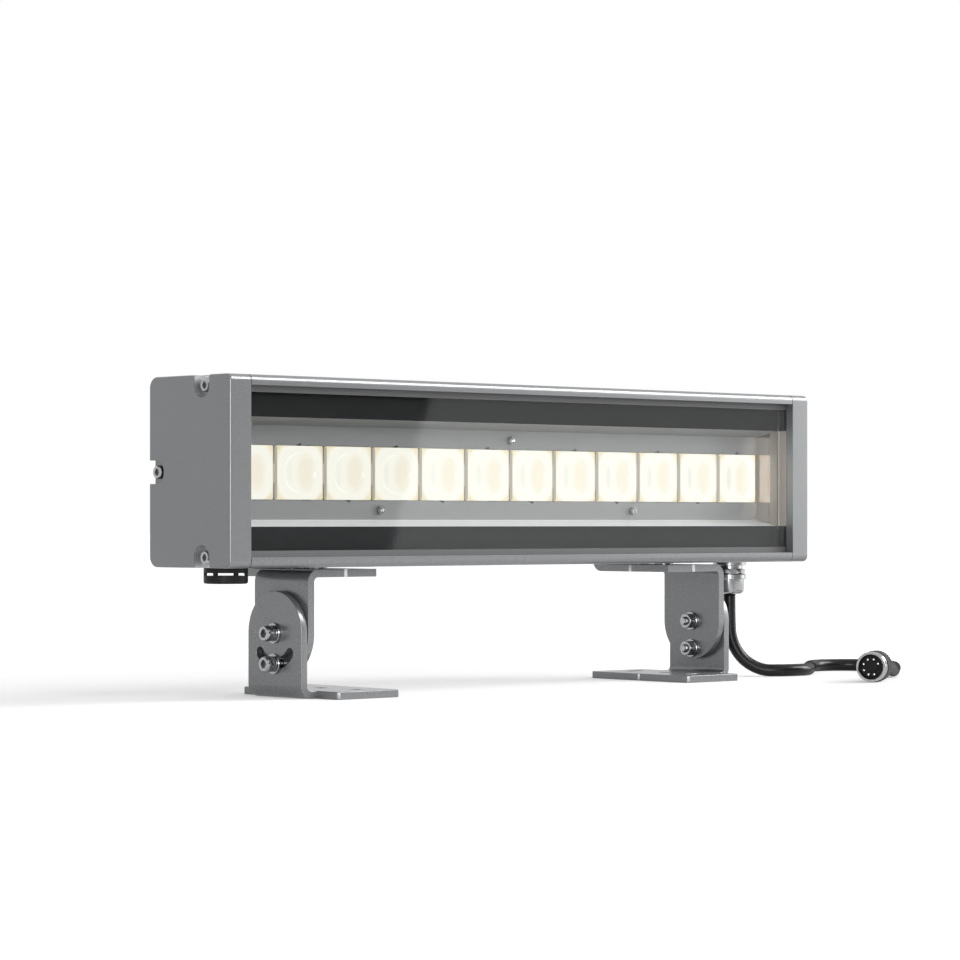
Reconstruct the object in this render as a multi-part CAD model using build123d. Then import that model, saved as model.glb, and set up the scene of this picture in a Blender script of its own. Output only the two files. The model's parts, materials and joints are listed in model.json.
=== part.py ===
# Outdoor wall washer light: an extruded aluminium lamp with twelve square optics behind a
# recessed glass, tilting between two bent floor brackets, with a short cable and connector.
# Millimetres. +X runs along the lamp, the light leaves towards -Y, +Z is up.
# The origin is on the floor, under the middle of the lamp.

import math
import os

from build123d import *

# ---------------------------------------------------------------- driving dimensions
# Lamp housing
lamp_length = 530.0          # over both end caps
lamp_height = 120.0
lamp_depth = 83.0
ground_gap = 83.3            # floor to the underside of the lamp
wall = 3.0                   # extrusion wall
cap_thickness = 16.5
end_seal_thickness = 0.5
front_edge_radius = 4.5
back_edge_radius = 7.0
front_lip = 6.6              # height of the lips above and below the glass
web_front = 12.0             # front face of the web that carries the board
web_thickness = 4.0
rail_width = 12.0            # inner rails that the bracket screws are cut into
rail_height = 4.0
port_radius = 4.6            # screw ports of the end caps
port_edge = 6.5              # port centre from the top and bottom faces
port_y = -12.8
back_port_edge = 8.0         # back port centre from the back face

# Glass front
glass_recess = 7.4           # glass behind the front plane
glass_thickness = 5.0
glazing_front = 0.9          # seal in front of, behind and round the glass
glazing_side = 1.0
glazing_sight = 3.5          # seal seen beyond the lip, past a line of shadow
sight_shadow = 0.6
glazing_back_lip = 4.0
rib_thickness = 2.0          # rib behind the glass
mask_height = 15.0           # black band printed behind the glass
mask_thickness = 0.3

# Optics
lens_count = 12
lens_gap = 3.2               # dark line between two optics
lens_end_gap = 0.7           # window's end from the tray's end wall
lens_height = 34.4
lens_front_y = -9.5
lens_flange = 2.5
lens_corner = 1.2
lens_cone_back_radius = 8.0
lens_pocket_radius = 5.2
lens_pocket_depth = 6.0
lens_dish_radius = 13.0
lens_dish_depth = 1.2
lens_peg_radius = 1.2
tray_plate_y = -9.0          # front face of the tray's plate
tray_sheet = 1.5
tray_half_height = 30.0
tray_flare = 4.4             # how far each flange leans out towards the glass
tray_end_gap = 2.5           # inside of an end wall from the profile's end
tray_screw_z = 23.6          # from the middle of the optics
tray_screw_x = 116.6
tray_screw_length = 11.0
board_height = 40.0
board_thickness = 1.6
board_end_gap = 5.0
board_screw_lens_count = 4   # optics between two board screws
board_screw_z = 16.5
chip_size = 5.0
chip_base = 0.8
chip_dome_radius = 2.2
chip_dome_tip_radius = 1.2
chip_dome = 2.0
standoff_radius = 3.0

# Electronics in the rear chamber
driver_offset = 86.0         # driver's right end, from the gland
driver_length = 200.0
driver_depth = 17.0
driver_height = 40.0
driver_foot = 10.0
driver_foot_thickness = 2.0
driver_low = 10.0            # above the floor of the chamber
terminal_offset = 56.0       # block's left end, from the gland
terminal_length = 22.0
terminal_depth = 10.0
terminal_height = 14.0
terminal_screw_depth = 3.9
core_radius = 1.1
core_pitch = 3.0
core_pitch_in_cable = 2.7
core_level = 16.7            # middle core above the floor of the chamber
core_bend = 2.0
core_depth_y = 5.0           # cores behind the web
wire_hole_radius = 6.0
wire_hole_offset = 20.0      # from the gland
led_wire_offset = 21.6       # beyond the driver's left end
led_wire_level = 28.7
led_wire_spacing = 3.6

# Vent plug and cable gland, on the middle line of the underside
vent_inset = 29.0            # from the lamp's end
vent_radius = 14.0
vent_flange = 3.4
vent_gap = 1.8
vent_cap = 5.0
vent_cap_edge = 1.5
vent_posts = 6
vent_post_width = 2.4
vent_post_depth = 2.2
vent_post_edge = 0.1         # posts inside the rim of the cap
vent_post_turn = 22.0        # degrees
vent_shank_radius = 6.0
gland_offset = 29.2          # beyond the foot's outer face
gland_flange_radius = 12.0
gland_flange = 2.8
gland_neck_radius = 9.5
gland_neck = 2.4
gland_hex = 20.5             # across flats
gland_hex_height = 3.8
gland_collar = 3.8
gland_dome_radius = 10.75
gland_dome = 10.8
gland_dome_edge = 3.0
gland_flats = 20.6           # across the flats of the dome nut
gland_shank_radius = 8.0
locknut_height = 4.0
locknut_margin = 3.0         # radius of a lock nut beyond its shank
shank_end = 1.0              # shank showing above its lock nut
spot_face_radius = 14.0      # rail cut away round the gland and the vent

# Brackets
pivot_z = 41.1
sheet = 5.0
bend_radius = 3.0            # inside of a bend
strip_width = 54.0           # the upstands, with a round end on the pivot
foot_inset = 68.2            # outer face of the foot's upstand, from the lamp's end
foot_length = 64.1
foot_half_depth = 48.7
foot_wing_setback = 12.5     # the foot's wings stop short of its upstand
upper_length = 62.3          # upper bracket's free edge, from the foot's outer face
upper_back_y = 48.0          # back face of the upper bracket's flange
upper_wing_setback = 5.0
bracket_gap = 1.5            # spacer between lamp and upper bracket
friction_gap = 0.5           # between the two upstands
back_flange_top = 28.0       # above the underside of the lamp
corner_cut = 2.0
notch_width = 3.0
notch_depth = 1.5
tilt_limit = 50.0
lock_radius = 19.5
lock_slot_width = 7.0
foot_slot_inset = 37.8       # floor screws, from the foot's outer face
foot_slot_y = 30.0
foot_slot_width = 7.0
foot_slot_length = 16.0
foot_hole_radius = 4.5
bracket_screw_inset = 36.8   # from the foot's outer face
bracket_screw_y = (2.0, 27.0)
back_screw_z = 14.0          # above the underside of the lamp

# Fasteners: thread, head diameter, head height, key across flats
m3 = (3.0, 5.5, 3.0, 2.5)
m5 = (5.0, 8.5, 5.0, 4.0)
m6 = (6.0, 10.0, 6.0, 5.0)
m6_countersunk = (6.0, 12.0, 3.0, 4.0)
key_depth_share = 0.5
nut_flats = 10.0
nut_height = 5.0
washer_radius = 6.5
washer_thickness = 1.6
spring_washer_radius = 5.2
spring_washer_thickness = 1.6
bolt_end = 2.5               # thread showing beyond the nut
cap_screw_length = 20.0
cap_pocket_width = 15.5      # round about the screw, open to the edge
cap_pocket_depth = 7.0
back_pocket_height = 14.8
back_pocket_depth = 5.0
cap_edge = 1.5

# Cable and connector
cable_diameter = 8.8
cable_tail_top = 96.0
ring_radius = 10.5
ring_length = 7.5
ring_bore = 8.8
connector_radius = 11.0      # knurled body, which rests on the floor
connector_length = 9.0
connector_edge = 1.0
boot_length = 11.0
boot_radius = 7.5
boot_end_wall = 1.0
insert_recess = 5.0
pin_radius = 0.8
pin_length = 4.0
pin_circle = 5.6
pin_count = 7
connector_heading = 25.0     # degrees from +X, from the pin face to the boot
connector_offset = 2.4       # pin face beyond the gland
connector_front_y = -131.7
straight_lead = 20.0         # straight cable before the boot

# Clearances
running_clearance = 0.1      # pivot hole round its bolt, faces that turn on each other
fit_clearance = 0.05         # threads and bores of fixed pieces
screw_clearance = 0.3        # through holes round screws
lens_clearance = 0.3         # optics in the tray's window
tray_glass_gap = 0.4
overshoot = 1.0              # how far a cut runs past the faces it cuts

# ---------------------------------------------------------------- worked out
lamp_top = ground_gap + lamp_height
mid_z = ground_gap + lamp_height / 2
front_y = -lamp_depth / 2
back_y = lamp_depth / 2
cap_inner_x = lamp_length / 2 - cap_thickness
profile_end_x = cap_inner_x - end_seal_thickness
chamber_low = ground_gap + wall
chamber_top = lamp_top - wall
glass_front_y = front_y + glass_recess
glass_back_y = glass_front_y + glass_thickness
lip_back_y = glass_front_y - glazing_front
groove_back_y = glass_back_y + glazing_side
rib_back_y = groove_back_y + rib_thickness
web_back_y = web_front + web_thickness
glass_half_height = lamp_height / 2 - wall - glazing_side
sight_half_height = lamp_height / 2 - front_lip - sight_shadow - glazing_sight
tray_half_length = profile_end_x - tray_end_gap
tray_front_y = glass_back_y + mask_thickness + tray_glass_gap
board_face_y = web_front - board_thickness
lens_pitch = 2 * (tray_half_length - lens_end_gap) / lens_count
lens_width = lens_pitch - lens_gap
foot_outer_x = lamp_length / 2 - foot_inset
foot_free_x = foot_outer_x - foot_length
foot_slot_x = foot_outer_x - foot_slot_inset
upper_outer_x = foot_outer_x - sheet - friction_gap
upper_free_x = foot_outer_x - upper_length
upper_plate_low = ground_gap - bracket_gap - sheet
bracket_screw_x = foot_outer_x - bracket_screw_inset
vent_x = vent_inset - lamp_length / 2
gland_x = foot_outer_x + gland_offset
wire_hole_x = gland_x - wire_hole_offset
terminal_left = gland_x - terminal_offset
driver_right = gland_x - driver_offset
driver_left = driver_right - driver_length
led_wire_x = driver_left - led_wire_offset
port_hole_radius = m5[0] / 2 + fit_clearance
port_places = [(port_y, lamp_top - port_edge), (port_y, ground_gap + port_edge),
               (back_y - back_port_edge, mid_z)]
pocket_depths = [cap_pocket_depth, cap_pocket_depth, back_pocket_depth]
rail_hole_depth = wall + rail_height
shank_top = chamber_low + locknut_height + shank_end
core_levels = [chamber_low + core_level + step * core_pitch for step in (-1, 0, 1)]

parts = {}


# ---------------------------------------------------------------- helpers
def section_box(y0, y1, z0, z1):
    """Rectangle of a section, between two depths (or lengths) and two heights."""
    return Pos((y0 + y1) / 2, (z0 + z1) / 2) * Rectangle(y1 - y0, z1 - z0)


def along_x(section, x0, x1):
    """Extrude a section drawn in Y and Z from x0 to x1."""
    return extrude(Plane.YZ.offset(x0) * section, amount=x1 - x0)


def across_y(section, y0, y1):
    """Extrude a section drawn in X and Z from y0 to y1."""
    return extrude(Plane.XZ.offset(-y1) * section, amount=y1 - y0)


def up_z(outline, z0, z1):
    """Extrude an outline drawn in X and Y from z0 to z1."""
    return extrude(Plane.XY.offset(z0) * outline, amount=z1 - z0)


def rod(start, direction, radius, length):
    """Cylinder from a start point along a direction."""
    return Plane(origin=start, z_dir=direction) * Pos(0, 0, length / 2) * Cylinder(radius, length)


def through_cut(start, direction, radius, depth):
    """Cylinder that cuts through a depth, from past its face to past its far side."""
    direction = Vector(*direction)
    return rod(Vector(*start) - direction * overshoot, direction, radius, depth + 2 * overshoot)


def hexagon(flats):
    """Hexagon by its width across flats."""
    return RegularPolygon(flats / 2, 6, major_radius=False)


def socket_screw(size, length):
    """Socket head screw: the head stands on z 0 and the shank points down."""
    thread, head, head_height, key = size
    screw = Pos(0, 0, head_height / 2) * Cylinder(head / 2, head_height)
    screw += Pos(0, 0, -length / 2) * Cylinder(thread / 2, length)
    key_depth = head_height * key_depth_share
    return screw - up_z(hexagon(key), head_height - key_depth, head_height + overshoot)


def countersink(size, margin=0.0):
    """Cone of a countersunk head, its flat end on z 0 and its point end below."""
    thread, head, head_height, key = size
    return Pos(0, 0, -head_height / 2) * Cone(thread / 2 + margin, head / 2 + margin, head_height)


def countersunk_screw(size, length):
    """Countersunk screw: the head is flush with z 0 and the shank points down."""
    thread, head, head_height, key = size
    screw = countersink(size) + Pos(0, 0, -length / 2) * Cylinder(thread / 2, length)
    return screw - up_z(hexagon(key), -head_height * key_depth_share, overshoot)


def ring(outer_radius, inner_radius, thickness):
    """Flat ring lying on z 0."""
    return up_z(Circle(outer_radius) - Circle(inner_radius), 0, thickness)


def placed(shape, origin, direction):
    """Move a shape drawn along +Z to an origin, turned to a direction."""
    return Plane(origin=origin, z_dir=direction) * shape


def wire(points, radius, bend):
    """Round wire along straight runs with one bend radius."""
    path = FilletPolyline(*points, radius=bend)
    return sweep(Plane(origin=path @ 0, z_dir=path % 0) * Circle(radius), path=path)


def group(solids):
    """Separate solids that share one node."""
    return Compound(children=list(solids))


def mirrored(shape):
    """The same piece for the other end of the lamp."""
    return mirror(shape, about=Plane.YZ)


# ---------------------------------------------------------------- housing
def lamp_outline(inset=0.0):
    """Cross-section of the lamp: rounder at the back than at the front."""
    outline = section_box(front_y + inset, back_y - inset, ground_gap + inset, lamp_top - inset)
    corners = outline.vertices().sort_by(Axis.X)
    outline = fillet(corners[2:], back_edge_radius - inset)
    return fillet(outline.vertices().sort_by(Axis.X)[:2], front_edge_radius - inset)


def port_circles(radius):
    """Circles at the three end cap screws of a section."""
    return [Pos(*place) * Circle(radius) for place in port_places]


def port_bosses(radius):
    """Material round the end cap screws: two on the walls, one joined to the back wall."""
    y, z = port_places[-1]
    return port_circles(radius) + [section_box(y, back_y - wall / 2, z - radius, z + radius)]


def housing_profile():
    """Extruded housing with glass grooves, web, screw ports and screw rails."""
    section = lamp_outline()
    lip_low, lip_top = ground_gap + front_lip, lamp_top - front_lip
    rib_low, rib_top = chamber_low + glazing_back_lip, chamber_top - glazing_back_lip
    section -= section_box(front_y - overshoot, lip_back_y, lip_low, lip_top)
    section -= section_box(lip_back_y, groove_back_y, chamber_low, chamber_top)
    section -= section_box(groove_back_y, rib_back_y, rib_low, rib_top)
    section -= section_box(rib_back_y, web_front, chamber_low, chamber_top)
    section -= section_box(web_back_y, back_y - wall, chamber_low, chamber_top)
    for rail_y in bracket_screw_y:
        half = rail_width / 2
        section += section_box(rail_y - half, rail_y + half, chamber_low, chamber_low + rail_height)
    back_rail_z = ground_gap + back_screw_z
    section += section_box(back_y - wall - rail_height, back_y - wall,
                           back_rail_z - rail_width / 2, back_rail_z + rail_width / 2)
    section += port_bosses(port_radius)
    section -= port_circles(port_hole_radius)
    profile = along_x(section, -profile_end_x, profile_end_x)
    for x, radius in ((vent_x, vent_shank_radius), (gland_x, gland_shank_radius)):
        profile -= Pos(x, 0, chamber_low) * Pos(0, 0, wall) * Cylinder(spot_face_radius, 2 * wall)
        profile -= through_cut((x, 0, ground_gap), (0, 0, 1), radius + fit_clearance, wall)
    hole_radius = m6[0] / 2 + fit_clearance
    for side in (-1, 1):
        x = side * bracket_screw_x
        for y in bracket_screw_y:
            profile -= through_cut((x, y, ground_gap), (0, 0, 1), hole_radius, rail_hole_depth)
        profile -= through_cut((x, back_y, back_rail_z), (0, -1, 0), hole_radius, rail_hole_depth)
    for x, z in ((wire_hole_x, core_levels[1]), (led_wire_x, chamber_low + led_wire_level)):
        profile -= through_cut((x, web_front, z), (0, 1, 0), wire_hole_radius, web_thickness)
    return profile


def end_cap_right():
    """Solid end cap with a pocket round each screw, open to the nearest edge."""
    outer_x = lamp_length / 2
    cap = along_x(lamp_outline(), cap_inner_x, outer_x)
    cap = fillet(cap.faces().sort_by(Axis.X)[-1].edges(), cap_edge)
    pocket_radius = cap_pocket_width / 2
    for z, outward in ((lamp_top, 1), (ground_gap, -1)):
        round_z = z - outward * port_edge
        low, high = sorted((round_z, z + outward * overshoot))
        pocket = Pos(port_y, round_z) * Circle(pocket_radius)
        pocket += section_box(port_y - pocket_radius, port_y + pocket_radius, low, high)
        cap -= along_x(pocket, outer_x - cap_pocket_depth, outer_x + overshoot)
    half = back_pocket_height / 2
    round_y = back_y - back_port_edge
    pocket = Pos(round_y, mid_z) * Circle(half)
    pocket += section_box(round_y, back_y + overshoot, mid_z - half, mid_z + half)
    cap -= along_x(pocket, outer_x - back_pocket_depth, outer_x + overshoot)
    hole = m5[0] / 2 + screw_clearance
    for (y, z), depth in zip(port_places, pocket_depths):
        cap -= through_cut((cap_inner_x, y, z), (1, 0, 0), hole, cap_thickness - depth)
    return cap


def end_seal_right():
    """Flat seal between profile and end cap, cut out over both chambers."""
    inset = end_seal_thickness
    section = lamp_outline(inset)
    section -= section_box(glass_back_y, web_front, chamber_low, chamber_top)
    section -= section_box(web_back_y, back_y - wall, chamber_low, chamber_top)
    section += port_bosses(port_radius - inset)
    section -= port_circles(m5[0] / 2 + screw_clearance)
    section -= section_box(front_y - overshoot, lip_back_y, ground_gap + front_lip,
                           lamp_top - front_lip)
    return along_x(section, profile_end_x, cap_inner_x)


def end_cap_screws_right():
    """Three socket screws that hold one end cap."""
    screw = socket_screw(m5, cap_screw_length)
    return [placed(screw, (lamp_length / 2 - depth, y, z), (1, 0, 0))
            for (y, z), depth in zip(port_places, pocket_depths)]


parts["housing_profile"] = housing_profile()
parts["end_cap_right"] = end_cap_right()
parts["end_seal_right"] = end_seal_right()
right_cap_screws = end_cap_screws_right()
parts["end_cap_screws_right"] = group(right_cap_screws)
parts["end_cap_left"] = mirrored(parts["end_cap_right"])
parts["end_seal_left"] = mirrored(parts["end_seal_right"])
parts["end_cap_screws_left"] = group([mirrored(screw) for screw in right_cap_screws])


# ---------------------------------------------------------------- glass front
def front_glass():
    """Toughened pane in the two grooves."""
    section = section_box(glass_front_y, glass_back_y, mid_z - glass_half_height,
                          mid_z + glass_half_height)
    return along_x(section, -profile_end_x, profile_end_x)


def glazing_seal_top():
    """Channel seal round the upper edge of the glass, seen as a grey line past the lip."""
    edge = mid_z + glass_half_height
    seal = section_box(lip_back_y, glass_front_y, mid_z + sight_half_height, chamber_top)
    seal += section_box(glass_front_y, glass_back_y, edge, chamber_top)
    seal += section_box(glass_back_y, groove_back_y, chamber_top - glazing_back_lip, chamber_top)
    return along_x(seal, -profile_end_x, profile_end_x)


def mask_top():
    """Black band bonded behind the glass, above the optics."""
    edge = mid_z + sight_half_height
    section = section_box(glass_back_y, glass_back_y + mask_thickness, edge - mask_height, edge)
    return along_x(section, -tray_half_length, tray_half_length)


def lower_copy(shape):
    """The same strip below the optics."""
    return mirror(shape, about=Plane.XY.offset(mid_z))


parts["front_glass"] = front_glass()
parts["glazing_seal_top"] = glazing_seal_top()
parts["glazing_seal_bottom"] = lower_copy(parts["glazing_seal_top"])
parts["mask_top"] = mask_top()
parts["mask_bottom"] = lower_copy(parts["mask_top"])

# ---------------------------------------------------------------- optics
lens_places = [(index - (lens_count - 1) / 2) * lens_pitch for index in range(lens_count)]
tray_screw_places = [(-tray_screw_x, mid_z - tray_screw_z), (tray_screw_x, mid_z - tray_screw_z),
                     (0.0, mid_z + tray_screw_z)]


def peg_side(index):
    """Pegs alternate: below the first optic, above the second, and so on."""
    return 1 if index % 2 else -1


def tray_solid(plate_y, half_height, half_length):
    """Solid of the tray's form, flaring from its plate to its open front."""
    depth = plate_y - tray_front_y
    slope = tray_flare / (tray_plate_y - tray_front_y)
    front_half = half_height + slope * depth
    section = make_face(Polyline((plate_y, mid_z - half_height), (plate_y, mid_z + half_height),
                                 (tray_front_y, mid_z + front_half),
                                 (tray_front_y, mid_z - front_half), close=True))
    return along_x(section, -half_length, half_length)


def optic_tray():
    """Folded tray: a plate with one long window, two leaning flanges and two end walls."""
    plate_back_y = tray_plate_y + tray_sheet
    tray = tray_solid(plate_back_y, tray_half_height + tray_sheet, tray_half_length + tray_sheet)
    tray -= tray_solid(tray_plate_y, tray_half_height, tray_half_length)
    half_height = lens_height / 2 + lens_clearance
    half_length = lens_pitch * lens_count / 2 + lens_clearance
    window = Pos(0, mid_z) * Rectangle(2 * half_length, 2 * half_height)
    for index, x in enumerate(lens_places):
        peg_z = mid_z + peg_side(index) * half_height
        window += Pos(x, peg_z) * Circle(lens_peg_radius + lens_clearance)
    window += [Pos(*place) * Circle(m3[0] / 2 + screw_clearance) for place in tray_screw_places]
    return tray - across_y(window, tray_plate_y - overshoot, plate_back_y + overshoot)


def lens(index):
    """Square optic: dished front flange, reflecting cone, pocket for its chip, one peg."""
    x = lens_places[index]
    flange_back_y = lens_front_y + lens_flange
    cone_depth = board_face_y - flange_back_y
    cone_front_radius = lens_height / 2 - lens_corner
    body = across_y(RectangleRounded(lens_width, lens_height, lens_corner), 0, lens_flange)
    body += Plane(origin=(0, lens_flange, 0), z_dir=(0, 1, 0)) * Pos(0, 0, cone_depth / 2) * Cone(
        cone_front_radius, lens_cone_back_radius, cone_depth)
    total = lens_flange + cone_depth
    body -= rod((0, total - lens_pocket_depth, 0), (0, 1, 0), lens_pocket_radius, lens_pocket_depth)
    dish = Cone(lens_dish_radius - lens_dish_depth, lens_dish_radius, lens_dish_depth)
    body -= Plane(origin=(0, lens_dish_depth / 2, 0), z_dir=(0, -1, 0)) * dish
    peg_z = peg_side(index) * lens_height / 2
    body += rod((0, 0, peg_z), (0, 1, 0), lens_peg_radius, lens_flange)
    return Pos(x, lens_front_y, mid_z) * body


def tray_standoff(x, z):
    """Threaded standoff between web and tray plate."""
    length = web_front - (tray_plate_y + tray_sheet)
    standoff = ring(standoff_radius, m3[0] / 2 + fit_clearance, length)
    return placed(standoff, (x, web_front, z), (0, -1, 0))


def tray_screw(x, z):
    """Screw through the tray plate into its standoff."""
    return placed(socket_screw(m3, tray_screw_length), (x, tray_plate_y, z), (0, -1, 0))


def board_screw_places():
    """Between the cones of neighbouring optics, above and below them."""
    step = board_screw_lens_count * lens_pitch
    return [(x, mid_z + z) for x in (-step, 0.0, step) for z in (-board_screw_z, board_screw_z)]


def led_board():
    """Metal-cored board on the web."""
    half = profile_end_x - board_end_gap
    outline = section_box(-half, half, mid_z - board_height / 2, mid_z + board_height / 2)
    hole = m3[0] / 2 + screw_clearance
    outline -= [Pos(*place) * Circle(hole) for place in board_screw_places()]
    return across_y(outline, board_face_y, web_front)


def board_screw(x, z):
    """Screw that ends flush with the board's back, in the web's thread."""
    return placed(socket_screw(m3, board_thickness), (x, board_face_y, z), (0, -1, 0))


def led_chip(x):
    """LED: square base with a tapered top."""
    chip = up_z(Rectangle(chip_size, chip_size), 0, chip_base)
    chip += Pos(0, 0, chip_base + chip_dome / 2) * Cone(chip_dome_radius, chip_dome_tip_radius,
                                                        chip_dome)
    return placed(chip, (x, board_face_y, mid_z), (0, -1, 0))


parts["optic_tray"] = optic_tray()
for number in range(lens_count):
    parts[f"lens_{number + 1:02d}"] = lens(number)
parts["tray_standoffs"] = group(tray_standoff(*place) for place in tray_screw_places)
parts["tray_screws"] = group(tray_screw(*place) for place in tray_screw_places)
parts["led_board"] = led_board()
parts["board_screws"] = group(board_screw(*place) for place in board_screw_places())
parts["led_chips"] = group(led_chip(x) for x in lens_places)


# ---------------------------------------------------------------- electronics
def driver():
    """Potted driver with a thin foot at each end, standing on the web's back."""
    low = chamber_low + driver_low
    case = section_box(driver_left + driver_foot, driver_right - driver_foot, low, low + driver_height)
    foot = section_box(driver_left, driver_right, low, low + driver_height)
    feet_holes = [Pos(x, low + driver_height / 2) * Circle(m3[0] / 2 + screw_clearance)
                  for x in driver_screw_xs()]
    body = across_y(case, web_back_y, web_back_y + driver_depth)
    return body + across_y(foot - feet_holes, web_back_y, web_back_y + driver_foot_thickness)


def driver_screw_xs():
    """Middle of each driver foot."""
    return (driver_left + driver_foot / 2, driver_right - driver_foot / 2)


def driver_screw(x):
    """Screw of one driver foot, ending flush with the foot, in the web's thread."""
    place = (x, web_back_y + driver_foot_thickness, chamber_low + driver_low + driver_height / 2)
    return placed(socket_screw(m3, driver_foot_thickness), place, (0, 1, 0))


def terminal_block():
    """Three-pole block on the web's back, with a screw hole over each core."""
    low = core_levels[1] - terminal_height / 2
    outline = section_box(terminal_left, terminal_left + terminal_length, low,
                          low + terminal_height)
    block = across_y(outline, web_back_y, web_back_y + terminal_depth)
    for level in core_levels:
        start = (terminal_left + terminal_length / 2, web_back_y + terminal_depth, level)
        block -= rod(start, (0, -1, 0), core_radius, terminal_screw_depth)
    return block


def supply_core(step, level):
    """One core from the cable's end through the web to the terminal block."""
    start_x = gland_x + step * core_pitch_in_cable
    back = web_back_y + core_depth_y
    return wire([(start_x, 0, cable_tail_top), (start_x, 0, level), (wire_hole_x, 0, level),
                 (wire_hole_x, back, level), (terminal_left + terminal_length, back, level)],
                core_radius, core_bend)


def driver_core(level):
    """Short straight core from the terminal block to the driver."""
    start = (driver_right - driver_foot, web_back_y + core_depth_y, level)
    return rod(start, (1, 0, 0), core_radius, terminal_left - driver_right + driver_foot)


def led_core(side):
    """One core from the driver through the web to the board's face."""
    level = chamber_low + led_wire_level + side * core_pitch / 2
    x = led_wire_x + side * led_wire_spacing / 2
    back = web_back_y + 2 * core_depth_y
    front = board_face_y - 2 * core_bend
    top = mid_z - board_height / 2 + 2 * core_bend
    return wire([(driver_left + driver_foot, back, level), (x, back, level),
                 (x, front, level), (x, front, top), (x, board_face_y, top)],
                core_radius, core_bend - running_clearance)


parts["driver"] = driver()
parts["driver_screws"] = group(driver_screw(x) for x in driver_screw_xs())
parts["terminal_block"] = terminal_block()
parts["supply_cores"] = group([supply_core(step, level) for step, level in
                               zip((-1, 0, 1), core_levels)] +
                              [driver_core(level) for level in core_levels])
parts["led_cores"] = group(led_core(side) for side in (-1, 1))


# ---------------------------------------------------------------- vent plug and gland
def locknut(x, shank_radius):
    """Thin hexagonal nut on the floor of the chamber."""
    flats = 2 * (shank_radius + locknut_margin)
    nut = hexagon(flats) - Circle(shank_radius + fit_clearance)
    return Pos(x, 0, 0) * up_z(nut, chamber_low, chamber_low + locknut_height)


def vent_plug():
    """Flange, a round-edged cap below it, and a ring of posts that leave air gaps between."""
    flange_low = ground_gap - vent_flange
    cap_top = flange_low - vent_gap
    plug = up_z(Circle(vent_radius), flange_low, ground_gap)
    cap = up_z(Circle(vent_radius), cap_top - vent_cap, cap_top)
    plug += fillet(cap.edges().sort_by(Axis.Z)[0], vent_cap_edge)
    post_radius = vent_radius - vent_post_edge - vent_post_depth / 2
    post = Pos(post_radius, 0) * Rectangle(vent_post_depth, vent_post_width)
    for index in range(vent_posts):
        turn = vent_post_turn + 360 / vent_posts * index
        plug += up_z(Rot(0, 0, turn) * post, cap_top, flange_low)
    plug += up_z(Circle(vent_shank_radius), ground_gap, shank_top)
    return Pos(vent_x, 0, 0) * plug


def gland_body():
    """Flange, neck and hexagon under the lamp, with a bored shank through its floor."""
    flange_low = ground_gap - gland_flange
    neck_low = flange_low - gland_neck
    hex_low = neck_low - gland_hex_height
    body = up_z(Circle(gland_flange_radius), flange_low, ground_gap)
    body += up_z(Circle(gland_neck_radius), neck_low, flange_low)
    body += up_z(hexagon(gland_hex), hex_low, neck_low)
    body += up_z(Circle(gland_shank_radius), ground_gap, shank_top)
    bore = Circle(cable_diameter / 2 + fit_clearance)
    body -= up_z(bore, hex_low - overshoot, shank_top + overshoot)
    return Pos(gland_x, 0, 0) * body


def gland_nut():
    """Dome nut: a collar, six flats and a rounded lower end."""
    top = ground_gap - gland_flange - gland_neck - gland_hex_height
    collar_low = top - gland_collar
    dome_low = collar_low - gland_dome
    dome = up_z(Circle(gland_dome_radius), dome_low, collar_low)
    dome = fillet(dome.edges().sort_by(Axis.Z)[0], gland_dome_edge)
    dome &= up_z(hexagon(gland_flats), dome_low, collar_low)
    nut = up_z(Circle(gland_flange_radius), collar_low, top) + dome
    nut -= up_z(Circle(cable_diameter / 2 + fit_clearance), dome_low - overshoot,
                top + overshoot)
    return Pos(gland_x, 0, 0) * nut


gland_mouth_z = (ground_gap - gland_flange - gland_neck - gland_hex_height - gland_collar
                 - gland_dome)
parts["vent_plug"] = vent_plug()
parts["vent_locknut"] = locknut(vent_x, vent_shank_radius)
parts["gland_body"] = gland_body()
parts["gland_nut"] = gland_nut()
parts["gland_locknut"] = locknut(gland_x, gland_shank_radius)
parts["cable_tail"] = rod((gland_x, 0, gland_mouth_z), (0, 0, 1), cable_diameter / 2,
                          cable_tail_top - gland_mouth_z)


# ---------------------------------------------------------------- brackets
def bent_section(free_end, outer_face, plate_face, tip):
    """L section of bent sheet: a plate on plate_face, and a leg at its outer end up to tip."""
    turn = 1 if tip > plate_face else -1
    inner_face = plate_face + turn * sheet
    leg_inner = outer_face - sheet
    section = make_face(Polyline((free_end, plate_face), (outer_face, plate_face),
                                 (outer_face, tip), (leg_inner, tip),
                                 (leg_inner, inner_face), (free_end, inner_face), close=True))
    outer = section.vertices().sort_by_distance((outer_face, plate_face))[0]
    section = fillet(outer, bend_radius + sheet)
    inner = section.vertices().sort_by_distance((leg_inner, inner_face))[0]
    return fillet(inner, bend_radius)


def round_tip(outer_face, tip_side):
    """What is cut off an upstand beyond the pivot, to leave its end round about the pivot."""
    radius = strip_width / 2
    reach = radius + overshoot
    low, high = sorted((pivot_z, pivot_z + tip_side * reach))
    corners = section_box(-reach, reach, low, high) - Pos(0, pivot_z) * Circle(radius)
    return along_x(corners, outer_face - sheet - overshoot, outer_face + overshoot)


def notch(x, y, turn, low, high):
    """Small vee that marks the middle of a plate's edge."""
    vee = make_face(Polyline((-notch_width / 2, 0), (notch_width / 2, 0), (0, notch_depth),
                             close=True))
    return up_z(Pos(x, y) * Rot(0, 0, turn) * vee, low, high)


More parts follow.
